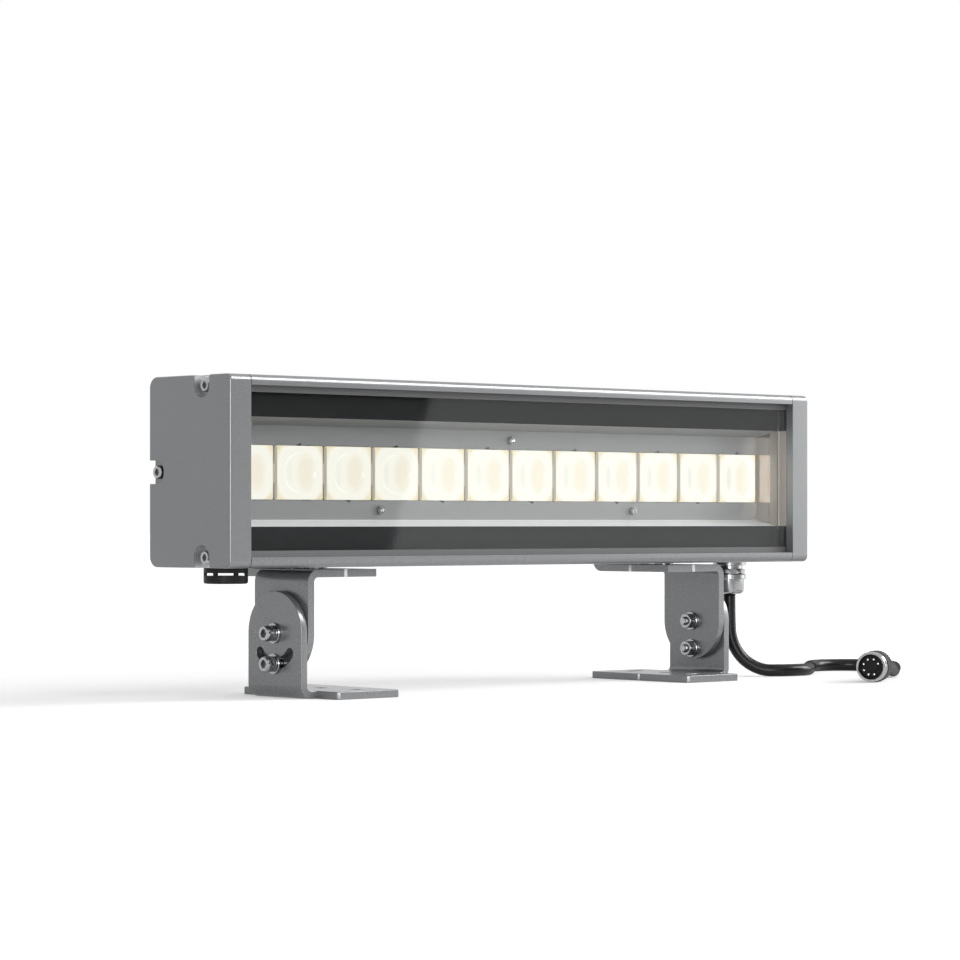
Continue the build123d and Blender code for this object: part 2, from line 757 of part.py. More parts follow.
def foot_bracket_right():
    """Foot plate bolted to the floor, with an upstand that has the pivot hole and arc slot."""
    radius = strip_width / 2
    wing_x = foot_outer_x - foot_wing_setback
    section = bent_section(foot_free_x, foot_outer_x, 0, pivot_z + radius)
    bracket = across_y(section, -radius, radius) - round_tip(foot_outer_x, 1)
    plan = section_box(foot_free_x, wing_x, -foot_half_depth, foot_half_depth)
    plan = chamfer(plan.vertices(), corner_cut)
    bracket += up_z(plan, 0, sheet)
    bracket -= notch(foot_free_x, 0, -90, 0, sheet)
    plate_holes = Pos(foot_slot_x, 0) * Circle(foot_hole_radius)
    for y in (-foot_slot_y, foot_slot_y):
        plate_holes += Pos(foot_slot_x, y) * SlotOverall(foot_slot_length, foot_slot_width)
    bracket -= up_z(plate_holes, -overshoot, sheet + overshoot)
    slot_line = CenterArc((0, pivot_z), lock_radius, -90 - tilt_limit, 2 * tilt_limit)
    holes = SlotArc(slot_line, lock_slot_width)
    holes += Pos(0, pivot_z) * Circle(m6[0] / 2 + running_clearance)
    return bracket - along_x(holes, foot_outer_x - sheet - overshoot, foot_outer_x + overshoot)


def upper_bracket_right():
    """Plate under the lamp with a flange up its back and an upstand down to the pivot."""
    radius = strip_width / 2
    plate_top = upper_plate_low + sheet
    section = bent_section(upper_free_x, upper_outer_x, plate_top, pivot_z - radius)
    bracket = across_y(section, -radius, radius) - round_tip(upper_outer_x, -1)
    wing_x = upper_outer_x - upper_wing_setback
    back = bent_section(-radius, upper_back_y, upper_plate_low, ground_gap + back_flange_top)
    bracket += along_x(back, upper_free_x, wing_x)
    bracket -= notch(upper_free_x, (upper_back_y - radius) / 2, -90, upper_plate_low, plate_top)
    bracket -= notch((upper_free_x + wing_x) / 2, -radius, 0, upper_plate_low, plate_top)
    screw_hole = Pos(0, 0, -sheet / 2) * Cylinder(m6[0] / 2 + screw_clearance,
                                                  sheet + 2 * overshoot)
    screw_hole += countersink(m6_countersunk, fit_clearance)
    bracket -= under_plate(screw_hole) + [behind_flange(screw_hole)]
    bolt_hole = m6[0] / 2 + fit_clearance
    for z in (pivot_z, pivot_z - lock_radius):
        bracket -= through_cut((upper_outer_x, 0, z), (-1, 0, 0), bolt_hole, sheet)
    return bracket


def under_plate(shape):
    """A shape at each screw under the right bracket's plate."""
    return [placed(shape, (bracket_screw_x, y, upper_plate_low), (0, 0, -1))
            for y in bracket_screw_y]


def behind_flange(shape):
    """A shape at the screw of the right bracket's back flange."""
    return placed(shape, (bracket_screw_x, upper_back_y, ground_gap + back_screw_z), (0, 1, 0))


def bracket_spacers_right():
    """Spacers that stand the upper bracket off the lamp, at each screw."""
    spacer_inner = m6[0] / 2 + screw_clearance
    below = Pos(0, 0, -sheet - bracket_gap) * ring(washer_radius, spacer_inner, bracket_gap)
    back_gap = upper_back_y - sheet - back_y
    back = Pos(0, 0, -sheet - back_gap) * ring(washer_radius, spacer_inner, back_gap)
    return under_plate(below) + [behind_flange(back)]


def hinge_stack(z):
    """Bolt, washers and nut of one bolt on the right brackets, as separate solids by kind."""
    outer = foot_outer_x + running_clearance
    inner = upper_outer_x - sheet
    hole = m6[0] / 2 + fit_clearance
    washers = [
        placed(ring(washer_radius, hole, washer_thickness), (outer, 0, z), (1, 0, 0)),
        placed(ring(washer_radius, hole, washer_thickness), (inner, 0, z), (-1, 0, 0))]
    spring_x = outer + washer_thickness
    spring = placed(ring(spring_washer_radius, hole, spring_washer_thickness),
                    (spring_x, 0, z), (1, 0, 0))
    nut_x = inner - washer_thickness
    nut = up_z(hexagon(nut_flats) - Circle(hole), 0, nut_height)
    nut = placed(nut, (nut_x, 0, z), (-1, 0, 0))
    head_x = spring_x + spring_washer_thickness
    length = head_x - (nut_x - nut_height - bolt_end)
    bolt = placed(socket_screw(m6, length), (head_x, 0, z), (1, 0, 0))
    return bolt, washers, spring, nut


def friction_washer_right():
    """Thin disc round both bolts' upper bracket holes, between the two upstands."""
    thickness = friction_gap - running_clearance
    disc = Circle(washer_radius) - Circle(m6[0] / 2 + running_clearance)
    return placed(up_z(disc, 0, thickness), (upper_outer_x, 0, pivot_z), (1, 0, 0))


def both_sides(solids):
    """Right-hand solids with their mirror copies, in one node."""
    solids = list(solids)
    return group(solids + [mirrored(solid) for solid in solids])


parts["foot_bracket_right"] = foot_bracket_right()
parts["foot_bracket_left"] = mirrored(parts["foot_bracket_right"])
parts["upper_bracket_right"] = upper_bracket_right()
parts["upper_bracket_left"] = mirrored(parts["upper_bracket_right"])
bracket_screw = countersunk_screw(m6_countersunk, sheet + bracket_gap + rail_hole_depth)
parts["bracket_screws"] = both_sides(under_plate(bracket_screw))
parts["back_screws"] = both_sides([behind_flange(bracket_screw)])
parts["bracket_spacers"] = both_sides(bracket_spacers_right())
stacks = [hinge_stack(z) for z in (pivot_z, pivot_z - lock_radius)]
parts["hinge_bolts"] = both_sides(bolt for bolt, washers, spring, nut in stacks)
parts["hinge_washers"] = both_sides(one for bolt, washers, spring, nut in stacks for one in washers)
parts["spring_washers"] = both_sides(spring for bolt, washers, spring, nut in stacks)
parts["hinge_nuts"] = both_sides(nut for bolt, washers, spring, nut in stacks)
parts["friction_washers"] = both_sides([friction_washer_right()])

# ---------------------------------------------------------------- cable and connector
heading = math.radians(connector_heading)
connector_axis = Vector(math.cos(heading), math.sin(heading), 0)
connector_origin = Vector(gland_x + connector_offset, connector_front_y, connector_radius)
connector_reach = ring_length + connector_length + boot_length
cable_end = connector_origin + connector_axis * connector_reach
cable_lead = cable_end + connector_axis * straight_lead
floor_z = cable_diameter / 2

# The cable's route, picked to follow the one in use: down out of the gland, along the floor
# towards the front, back past the lamp's end, round and forward to the connector.
# Each place is measured from the middle of the gland.
cable_places = [
    (0, 0, gland_mouth_z), (0, 0, 43.6), (0.4, -0.7, 26.8), (6.0, -6.3, 12.7),
    (16.1, -15.8, floor_z), (27.3, -26.4, floor_z), (42.2, -30.4, floor_z),
    (57.2, -26.8, floor_z), (76.2, -9.0, floor_z), (95.1, 7.4, floor_z),
    (110.1, 10.9, floor_z), (124.9, 6.7, floor_z), (135.8, -4.2, floor_z),
    (140.0, -19.0, floor_z), (136.5, -34.0, floor_z), (128.9, -47.4, floor_z),
    (106.2, -65.3, floor_z), (76.0, -90.3, floor_z)]
cable_points = [(gland_x + x, y, z) for x, y, z in cable_places]
cable_points += [tuple(cable_lead), tuple(cable_end)]
largest_arc_share = 0.45


def route_radii(points):
    """The largest arc that fits each corner of a route: a share of its shorter run."""
    corners = [Vector(*point) for point in points]
    radii = []
    for before, corner, after in zip(corners, corners[1:], corners[2:]):
        turn = (corner - before).get_angle(after - corner)
        shorter = min((corner - before).length, (after - corner).length)
        radii.append(largest_arc_share * shorter / math.tan(math.radians(turn / 2)))
    return radii


def cable():
    """Round cable along its route, with its volume printed against section times length."""
    radii = route_radii(cable_points)
    path = FilletPolyline(*cable_points, radius=radii)
    section = Circle(cable_diameter / 2)
    tube = sweep(Plane(origin=path @ 0, z_dir=path % 0) * section, path=path)
    print("cable length", round(path.length, 1), "radii", [round(radius) for radius in radii])
    print("cable volume", round(tube.volume), "against", round(section.area * path.length))
    return tube


def on_connector(shape, distance):
    """Place a shape drawn along +Z on the connector's axis, behind its pin face."""
    origin = connector_origin + connector_axis * distance
    return Plane(origin=origin, z_dir=connector_axis) * shape


def connector_ring():
    """Metal shell round the pins, where the mating half screws on."""
    return on_connector(ring(ring_radius, ring_bore, ring_length), 0)


def connector_body():
    """Knurled body behind the shell."""
    body = up_z(Circle(connector_radius), 0, connector_length)
    return on_connector(fillet(body.edges().sort_by(Axis.Z)[-1], connector_edge), ring_length)


def connector_boot():
    """Tapered nut that clamps the cable."""
    boot = Cone(boot_radius, cable_diameter / 2 + boot_end_wall, boot_length)
    return on_connector(Pos(0, 0, boot_length / 2) * boot, ring_length + connector_length)


def pin_offsets():
    """A ring of pins, evenly spaced but for one missing place that keys the plug."""
    step = 360 / (pin_count + 1)
    angles = [math.radians(step * index) for index in range(pin_count)]
    return [(pin_circle * math.cos(angle), pin_circle * math.sin(angle)) for angle in angles]


def connector_insert():
    """Dark disc that holds the pins, set back in the shell and down to its foot."""
    disc = Circle(ring_bore - fit_clearance)
    return on_connector(up_z(disc, 0, ring_length - insert_recess), insert_recess)


def connector_pin(x, y):
    """Pin standing out of the insert."""
    return on_connector(Pos(x, y, -pin_length / 2) * Cylinder(pin_radius, pin_length),
                        insert_recess)


parts["cable"] = cable()
parts["connector_ring"] = connector_ring()
parts["connector_body"] = connector_body()
parts["connector_boot"] = connector_boot()
parts["connector_insert"] = connector_insert()
parts["connector_pins"] = group(connector_pin(x, y) for x, y in pin_offsets())

# ---------------------------------------------------------------- write the files
os.makedirs("parts", exist_ok=True)
for node, shape in parts.items():
    export_step(shape, f"parts/{node}.step")
print(len(parts), "nodes")
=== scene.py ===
"""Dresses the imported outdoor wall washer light: edges, fasteners, cable, finishes and studio."""

import itertools
import json
import math

import bmesh
import bpy
from mathutils import Matrix, Vector


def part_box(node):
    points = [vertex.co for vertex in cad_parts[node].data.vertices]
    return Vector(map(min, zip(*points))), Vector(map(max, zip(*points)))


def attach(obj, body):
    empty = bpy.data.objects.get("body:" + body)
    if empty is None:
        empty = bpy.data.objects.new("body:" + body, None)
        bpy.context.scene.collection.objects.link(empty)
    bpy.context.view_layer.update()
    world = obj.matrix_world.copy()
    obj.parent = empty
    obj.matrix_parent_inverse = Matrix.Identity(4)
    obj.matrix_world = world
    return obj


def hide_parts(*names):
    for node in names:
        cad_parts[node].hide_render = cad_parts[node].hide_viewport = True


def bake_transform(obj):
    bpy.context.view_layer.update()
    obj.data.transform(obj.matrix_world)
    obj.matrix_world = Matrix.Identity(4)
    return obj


bl_info = {
    "name": "Outdoor wall washer light",
    "version": (1, 0, 0),
    "blender": (4, 5, 0),
    "location": "3D View > Sidebar > Wall washer",
    "description": "Dresses the CAD frame of a linear outdoor wall washer light",
    "category": "Object",
}

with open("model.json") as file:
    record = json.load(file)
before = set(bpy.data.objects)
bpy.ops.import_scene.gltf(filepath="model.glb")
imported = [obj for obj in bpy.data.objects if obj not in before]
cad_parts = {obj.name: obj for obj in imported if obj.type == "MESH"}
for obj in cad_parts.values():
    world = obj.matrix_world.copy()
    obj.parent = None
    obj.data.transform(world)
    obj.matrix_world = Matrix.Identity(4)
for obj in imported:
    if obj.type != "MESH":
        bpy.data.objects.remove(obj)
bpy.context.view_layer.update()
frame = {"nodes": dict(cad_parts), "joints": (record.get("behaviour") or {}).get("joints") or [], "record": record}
nodes = frame["nodes"]
mounts = {mount["name"]: mount for mount in frame["record"]["mounts"]}

MM = 0.001
FULL_TURN = 2 * math.pi

# ---------------------------------------------------------------- places read from the frame
PIVOT = Vector(frame["joints"][0]["pos_m"])
LAMP_LOW, LAMP_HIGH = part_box("end_cap_left")[0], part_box("end_cap_right")[1]
GLAND_X = (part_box("gland_nut")[0].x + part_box("gland_nut")[1].x) / 2
OPTICS_MIDDLE = (LAMP_LOW.z + LAMP_HIGH.z) / 2
LENS_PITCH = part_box("lens_02")[0].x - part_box("lens_01")[0].x
LENS_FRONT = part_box("lens_01")[0].y
LENS_HALF_WIDTH = (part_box("lens_01")[1].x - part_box("lens_01")[0].x) / 2

# ---------------------------------------------------------------- sizes and tones of the scene
LENS_HALF_HEIGHT = 17.2 * MM
GASKET_HALF_HEIGHT = 34.3 * MM      # of the pale part between the black prints
BEAD_HALF_HEIGHT = 34.2 * MM
SMOOTH_BELOW = math.radians(35)     # edges between faces under this angle are shaded soft
BEVEL_ABOVE = math.radians(38)      # and those over this angle are rounded
COAT = (0.215, 0.22, 0.226)
# painted light: a paler coat in the end caps' screw pockets, to lift their shade
POCKET_PAINTED_LIGHT = (0.46, 0.47, 0.48)
BARE_STEEL = (0.40, 0.405, 0.41)
WARM_WHITE = (1.0, 0.88, 0.62)

# The cable's route in mm, as the CAD source has it: from the gland's mouth to the connector's
# boot. It comes down to the floor at its fifth point.
CABLE_RADIUS = 4.4 * MM
CABLE_ROUTE = [
    (226.0, 0, 59.7), (226.0, 0, 43.6), (226.4, -0.7, 26.8), (232.0, -6.3, 12.7),
    (242.1, -15.8, 4.4), (253.3, -26.4, 4.4), (268.2, -30.4, 4.4), (283.2, -26.8, 4.4),
    (302.2, -9.0, 4.4), (321.1, 7.4, 4.4), (336.1, 10.9, 4.4), (350.9, 6.7, 4.4),
    (361.8, -4.2, 4.4), (366.0, -19.0, 4.4), (362.5, -34.0, 4.4), (354.9, -47.4, 4.4),
    (332.2, -65.3, 4.4), (302.0, -90.3, 4.4), (271.45, -111.63, 11.0), (253.32, -120.08, 11.0)]


# ---------------------------------------------------------------- shader maths
class Value:
    """A socket of a shader, on which Python's operators add Math nodes."""

    def __init__(self, paint, socket):
        self.paint, self.socket = paint, socket

    def maths(self, operation, *values, clamp=False):
        settings = {"operation": operation, "use_clamp": clamp}
        return self.paint.node("ShaderNodeMath", settings, *values)

    def __add__(self, other):
        return self.maths("ADD", self, other)

    def __radd__(self, other):
        return self.maths("ADD", other, self)

    def __sub__(self, other):
        return self.maths("SUBTRACT", self, other)

    def __rsub__(self, other):
        return self.maths("SUBTRACT", other, self)

    def __mul__(self, other):
        return self.maths("MULTIPLY", self, other)

    def __rmul__(self, other):
        return self.maths("MULTIPLY", other, self)

    def __truediv__(self, other):
        return self.maths("DIVIDE", self, other)

    def __pow__(self, other):
        return self.maths("POWER", self, other)

    def __abs__(self):
        return self.maths("ABSOLUTE", self)

    def above(self, edge, softness):
        """0 below an edge and 1 above it, with a soft step between."""
        return self.maths("ADD", (self - edge) / softness, 0.5, clamp=True)

    def below(self, edge, softness):
        """1 below an edge and 0 above it, with a soft step between."""
        return self.maths("ADD", (edge - self) / softness, 0.5, clamp=True)

    def repeated(self, period):
        """The distance from the nearest multiple of a period, with its sign."""
        return self.maths("WRAP", self, period / 2, -period / 2)


class Paint:
    """One material and its nodes."""

    def __init__(self, name):
        self.material = bpy.data.materials.new(name)
        self.material.use_nodes = True
        self.tree = self.material.node_tree
        self.shader = self.tree.nodes["Principled BSDF"]
        self.place = self.node("ShaderNodeTexCoord", {}, output="Object")

    def node(self, kind, settings, *values, output=0, **named):
        """Add a node: settings first, then the values or links of its sockets."""
        made = self.tree.nodes.new(kind)
        for setting, value in settings.items():
            setattr(made, setting, value)
        for key, value in [*enumerate(values), *named.items()]:
            name = key.replace("_", " ") if isinstance(key, str) else key
            self.put(made.inputs[name], value)
        return Value(self, made.outputs[output])

    def put(self, socket, value):
        """Link a value to a socket, or set the socket to a plain number or colour."""
        if isinstance(value, Value):
            self.tree.links.new(value.socket, socket)
        elif socket.type == "RGBA" and len(value) == 3:
            socket.default_value = (*value, 1.0)
        else:
            socket.default_value = value

    def set(self, **values):
        """Set inputs of the main shader, by name with underscores for spaces."""
        for name, value in values.items():
            self.put(self.shader.inputs[name.replace("_", " ")], value)

    def main(self):
        """The main shader, to be mixed with another."""
        return Value(self, self.shader.outputs[0])

    def show(self, shader):
        """Make a shader the material's surface."""
        self.tree.links.new(shader.socket, self.tree.nodes["Material Output"].inputs["Surface"])

    def mix(self, share, first, second):
        """A colour between two colours."""
        return self.node("ShaderNodeMix", {"data_type": "RGBA"}, output="Result",
                         Factor=share, **{"A": first, "B": second})

    def noise(self, scale, detail=2.0, stretch=(1, 1, 1)):
        """Fractal noise over the object, with a scale for each axis."""
        place = self.node("ShaderNodeMapping", {}, self.place, Scale=stretch)
        return self.node("ShaderNodeTexNoise", {}, output="Fac", Vector=place, Scale=scale,
                         Detail=detail)

    def bump(self, height, distance, strength):
        """Bump from a height pattern."""
        return self.node("ShaderNodeBump", {}, output="Normal", Height=height,
                         Distance=distance, Strength=strength)

    def axis(self, name):
        """One coordinate of the object, in metres."""
        return self.node("ShaderNodeSeparateXYZ", {}, self.place, output=name)

    def slant(self):
        """0 where the surface is seen straight on and 1 where it is seen edge on."""
        return self.node("ShaderNodeLayerWeight", {}, Blend=0.5, output="Facing")


# ---------------------------------------------------------------- finishes
def powder_coat(name, pockets=False):
    """Fine textured metallic paint: soft clouds, and painted light in the caps' screw pockets to lift their shade.
    """
    paint = Paint(name)
    grain = paint.noise(2600, 2.0)
    dark = tuple(channel * 0.94 for channel in COAT)
    coat = paint.mix(paint.noise(14, 3.0), dark, COAT)
    # Painted light: a paler tone inside the screw pockets, where the recess would be in shade.
    if pockets:
        pocket_front, pocket_back, under_face = -21 * MM, 0, 0.6 * MM
        sunk = abs(paint.axis("X")).below(LAMP_HIGH.x - under_face, 0.3 * MM)
        deep = paint.axis("Y")
        pocket_light_band = deep.below(pocket_back, 1 * MM) * deep.above(pocket_front, 1 * MM)
        coat = paint.mix(sunk * pocket_light_band, coat, POCKET_PAINTED_LIGHT)
    paint.set(Base_Color=coat, Metallic=0.50, Roughness=0.28 + (grain - 0.5) * 0.10,
              Normal=paint.bump(grain, 0.02 * MM, 0.5))
    return paint.material


def bare_metal(name, colour, roughness):
    """Machined metal with faint tool marks and a few stains."""
    paint = Paint(name)
    marks = paint.noise(900, 2.0)
    stain = paint.noise(60, 3.0)
    dark = tuple(channel * 0.86 for channel in colour)
    paint.set(Base_Color=paint.mix(stain, dark, colour), Metallic=1.0,
              Roughness=roughness + (marks - 0.5) * 0.14,
              Normal=paint.bump(marks, 0.008 * MM, 0.5))
    return paint.material


def tray_metal():
    """Anodised sheet: satin plate, flanges painted light with painted highlights along their folds, end walls
    polished behind, matt in front.
    """
    paint = Paint("tray_sheet")
    grain = paint.noise(700, 2.0, (0.15, 1, 4))
    facing = paint.node("ShaderNodeNewGeometry", {}, output="Normal")
    ends = abs(paint.node("ShaderNodeSeparateXYZ", {}, facing, output="X")).above(0.9, 0.1)
    # Painted light: faces that look up, such as the lower flange, get a pale colour as if lit from above.
    lit_flange = paint.node("ShaderNodeSeparateXYZ", {}, facing, output="Z").above(0.7, 0.1)
    front_fold, matt_from, back_fold = -28.0 * MM, -22 * MM, -10.8 * MM
    deep = paint.axis("Y")
    matt = deep.below(matt_from, 0.5 * MM)
    # Painted highlights: white lines along the folds at the back and front of the flange.
    fold_highlights = deep.above(back_fold, 0.4 * MM) + deep.below(front_fold, 0.4 * MM)
    bright = paint.mix(fold_highlights, (0.74, 0.75, 0.78), (1.0, 1.0, 1.0))
    colour = paint.mix(lit_flange, (0.212, 0.216, 0.218), bright)
    wall = paint.mix(matt, (0.50, 0.44, 0.40), (0.42, 0.38, 0.33))
    paint.set(Base_Color=paint.mix(ends, colour, wall),
              Metallic=0.25 + ends * (0.7 - matt * 0.8),
              Roughness=0.40 - ends * (0.33 - matt * 0.30) + (grain - 0.5) * 0.05)
    return paint.material


def end_gasket():
    """Pale gasket behind the pane's ends, printed black above and below like the masks."""
    paint = Paint("end_gasket")
    speck = paint.noise(900, 2.0)
    printed = abs(paint.axis("Z") - OPTICS_MIDDLE).above(GASKET_HALF_HEIGHT, 0.3 * MM)
    pale = paint.mix(speck, (0.44, 0.395, 0.36), (0.50, 0.45, 0.41))
    paint.set(Base_Color=paint.mix(printed, pale, (0.021, 0.022, 0.023)), Roughness=0.55)
    return paint.material


def pane_glass():
    """Clear pane: lets light through and mirrors the room at a slant."""
    paint = Paint("pane_glass")
    paint.set(Base_Color=(1, 1, 1), Metallic=1.0, Roughness=0.03)
    clear = paint.node("ShaderNodeBsdfTransparent", {}, Color=(0.985, 0.99, 0.985))
    mirror = 0.045 + 0.95 * paint.slant() ** 5.0
    paint.show(paint.node("ShaderNodeMixShader", {}, mirror, clear, paint.main()))
    return paint.material


def plain_moulding(name, colour, roughness, grain=0.02, gloss=0.5):
    """Moulded plastic or rubber with a fine spark-eroded grain, whose depth is in mm."""
    paint = Paint(name)
    texture = paint.noise(1800, 2.0)
    light = tuple(min(1.0, channel * 1.12 + 0.002) for channel in colour)
    paint.set(Base_Color=paint.mix(paint.noise(90, 2.0), colour, light),
              Roughness=roughness + (texture - 0.5) * 0.12, Specular_IOR_Level=gloss,
              Normal=paint.bump(texture, grain * MM, 0.5))
    return paint.material


def lit_optic():
    """Clear optic with its light on: a bright round lens, creamy corners and faint streaks.

    The lens is a rounded square. Its reach and the sizes of the streaks are in mm.
    """
    corner_from, rim_from, rim_to = 19.2, 15.6, 17.6
    roundness = 3.0
    paint = Paint("lit_optic")
    across = (paint.axis("X") + LENS_PITCH / 2).repeated(LENS_PITCH)
    upward = paint.axis("Z") - OPTICS_MIDDLE
    wide, tall = (abs(across) / MM) ** roundness, (abs(upward) / MM) ** roundness
    reach = (wide + tall) ** (1 / roundness)
    corner = reach.above(corner_from, 2.6)
    rim = reach.above(rim_from, 1.6) * reach.below(rim_to, 1.4)
    glow = paint.mix(corner, (0.97, 0.96, 0.86), (0.91, 0.815, 0.56))
    glow = paint.mix(rim * 0.35, glow, (1.0, 0.98, 0.90))
    stronger_rightwards = 0.55 + paint.axis("X") * 1.6
    # Each streak: its middle, half width, half height, share of the tint, and tint.
    streaks = ((5.6, 7.0, 12.0, 0.8, (0.92, 0.84, 0.69)),
               (-7.9, 2.4, 9.5, stronger_rightwards, (0.83, 0.83, 0.745)),
               (-12.0, 1.4, 8.0, 0.4, (0.93, 0.88, 0.80)))
    for offset, width, height, share, tint in streaks:
        sideways = (across - offset * MM) / (width * MM)
        along = upward / (height * MM)
        spot = (sideways * sideways + along * along).below(0.8, 0.9)
        glow = paint.mix(spot * share, glow, tint)
    mottle = paint.noise(240, 3.0).above(0.54, 0.12) * corner
    glow = paint.mix(mottle * 0.5, glow, (0.76, 0.64, 0.44))
    face = (paint.axis("Y").below(LENS_FRONT + 1.6 * MM, 0.2 * MM)
            * abs(across).below(LENS_HALF_WIDTH - 0.15 * MM, 0.2 * MM))
    inside = abs(upward).below(LENS_HALF_HEIGHT - 0.05 * MM, 0.1 * MM)
    glow = paint.mix(face, (0.46, 0.43, 0.37), glow)
    glow = paint.mix(inside, (0.02, 0.02, 0.018), glow)
    paint.set(Base_Color=(0.05, 0.05, 0.045), Roughness=0.2, Emission_Color=glow,
              Emission_Strength=1.0, Specular_IOR_Level=0.2)
    return paint.material


def black_print():
    """Matt ceramic print, seen through the pane."""
    paint = Paint("black_print")
    cloud = paint.noise(40, 2.0)
    paint.set(Base_Color=paint.mix(cloud, (0.027, 0.028, 0.029), (0.031, 0.032, 0.033)),
              Roughness=0.9, Specular_IOR_Level=0.0)
    return paint.material


def cable_jacket():
    """Smooth black jacket with a faint ripple and dust, dull where it is seen at a slant."""
    paint = Paint("cable_jacket")
    ripple = paint.noise(420, 3.0)
    dust = paint.noise(70, 4.0).above(0.6, 0.3)
    paint.set(Base_Color=paint.mix(dust, (0.009, 0.009, 0.010), (0.016, 0.016, 0.017)),
              Roughness=0.24 + (ripple - 0.5) * 0.16 + dust * 0.06, Specular_IOR_Level=0.22,
              Normal=paint.bump(ripple, 0.03 * MM, 0.4))
    dull = paint.node("ShaderNodeBsdfDiffuse", {}, Color=(0.012, 0.012, 0.013))
    paint.show(paint.node("ShaderNodeMixShader", {}, paint.slant() ** 3.0, paint.main(), dull))
    return paint.material


def warm_dome():
    """Phosphor dome of an LED, glowing."""
    paint = Paint("led_phosphor")
    speck = paint.noise(2200, 1.0)
    paint.set(Base_Color=paint.mix(speck, (0.92, 0.72, 0.28), (0.98, 0.84, 0.42)),
              Roughness=0.35, Emission_Color=WARM_WHITE, Emission_Strength=1.2)
    return paint.material


def make_finishes():
    """One material for each material slot of the record."""
    return {
        "lamp_paint": powder_coat("grey_powder_coat"),
        "steel": bare_metal("stainless_steel", BARE_STEEL, roughness=0.19),
        "nickel": bare_metal("nickel_plate", BARE_STEEL, roughness=0.20),
        "pin_metal": bare_metal("contact_plating", (0.80, 0.78, 0.72), roughness=0.16),
        "glass": pane_glass(),
        "seal": plain_moulding("glazing_rubber", (0.075, 0.076, 0.078), roughness=0.55),
        "mask": black_print(),
        "optic": lit_optic(),
        "board": plain_moulding("white_solder_mask", (0.78, 0.77, 0.74), roughness=0.35,
                                grain=0.005),
        "chip": warm_dome(),
        "driver_case": plain_moulding("potting_shell", (0.62, 0.62, 0.61), roughness=0.5),
        "black_plastic": plain_moulding("black_moulding", (0.017, 0.017, 0.018),
                                        roughness=0.40, gloss=0.12),
        "cable_jacket": cable_jacket(),
        "core": plain_moulding("core_insulation", (0.28, 0.12, 0.05), roughness=0.4,
                               grain=0.005),
    }


FINISHES = make_finishes()
SLOT_OF = {row["node"]: row["material_slot"] for row in frame["record"]["subparts"]}


# ---------------------------------------------------------------- mesh tools
def turned(rings, segments=48, hollow=False):
    """A body of rings round +Z: each ring is a height and a radius, or a radius by angle."""
    mesh = bmesh.new()
    bmesh.ops.create_circle(mesh, segments=segments, radius=1.0)
    verts, edges = mesh.verts[:], mesh.edges[:]
    first = edges
    for index, (height, radius) in enumerate(rings):
        if index:
            grown = bmesh.ops.extrude_edge_only(mesh, edges=edges)["geom"]
            verts = [item for item in grown if isinstance(item, bmesh.types.BMVert)]
            fresh = set(verts)
            edges = [item for item in grown if isinstance(item, bmesh.types.BMEdge)
                     and fresh.issuperset(item.verts)]
        for vert in verts:
            angle = math.atan2(vert.co.y, vert.co.x)
            reach = radius(angle) if callable(radius) else radius
            vert.co = Vector((math.cos(angle), math.sin(angle), 0)) * reach * MM
            vert.co.z = height * MM
    if hollow:
        bmesh.ops.bridge_loops(mesh, edges=first + edges)
    else:
        bmesh.ops.edgeloop_fill(mesh, edges=first)
        bmesh.ops.edgeloop_fill(mesh, edges=edges)
    bmesh.ops.recalc_face_normals(mesh, faces=mesh.faces)
    return mesh


def flats(width, limit=math.inf):
    """Radius by angle of a hexagon across flats, with its corners turned to a limit."""
    sixth = FULL_TURN / 6

    def reach(angle):
        return min(width / 2 / math.cos((angle + sixth / 2) % sixth - sixth / 2), limit)
    return reach


def knurl(radius, depth, segments):
    """Radius by angle of straight knurling: every second line stands back."""
    return lambda angle: radius - depth * (round(angle / FULL_TURN * segments) % 2)


def thread(radius, depth, pitch, start, end):
    """Rings of a helical thread between two heights, running out at both ends."""
    steps_a_turn = 8
    count = max(2, round(abs(end - start) / pitch * steps_a_turn))
    rings = []
    for step in range(count + 1):
        height = start + (end - start) * step / count
        fade = min(1.0, step / steps_a_turn * 2, (count - step) / steps_a_turn * 2)

        def reach(angle, height=height, fade=fade):
            phase = (height / pitch - angle / FULL_TURN) % 1
            return radius - depth * (1 - fade + fade * abs(2 * phase - 1))
        rings.append((height, reach))
    return rings


def set_on(place, direction):
    """Matrix that turns +Z to a direction and moves the origin to a place."""
    turn = Vector((0, 0, 1)).rotation_difference(Vector(direction)).to_matrix().to_4x4()
    return Matrix.Translation(Vector(place)) @ turn


def combined(pieces):
    """One mesh of several, each moved by its matrix."""
    whole = bmesh.new()
    for mesh, matrix in pieces:
        loose = bpy.data.meshes.new("loose")
        mesh.to_mesh(loose)
        loose.transform(matrix)
        whole.from_mesh(loose)
        bpy.data.meshes.remove(loose)
    return whole


def new_object(name, mesh, material):
    """Turn a mesh under construction into an object of one material."""
    data = bpy.data.meshes.new(name)
    mesh.to_mesh(data)
    mesh.free()
    data.materials.append(material)
    made = bpy.data.objects.new(name, data)
    bpy.context.scene.collection.objects.link(made)
    return made


def soften(piece):
    """Shade all faces of an object soft."""
    for polygon in piece.data.polygons:
        polygon.use_smooth = True


def finished(name, mesh, slot, body, replaces=(), flat_faces=False):
    """Make the object of a piece: its finish, its soft shading and the body that it rides."""
    piece = new_object(name, mesh, FINISHES[slot])
    soften(piece)
    piece.data.set_sharp_from_angle(angle=SMOOTH_BELOW)
    if flat_faces:
        level = piece.modifiers.new("level_faces", "WEIGHTED_NORMAL")
        level.keep_sharp = True
    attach(piece, body)
    if replaces:
        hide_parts(*replaces)
    return piece


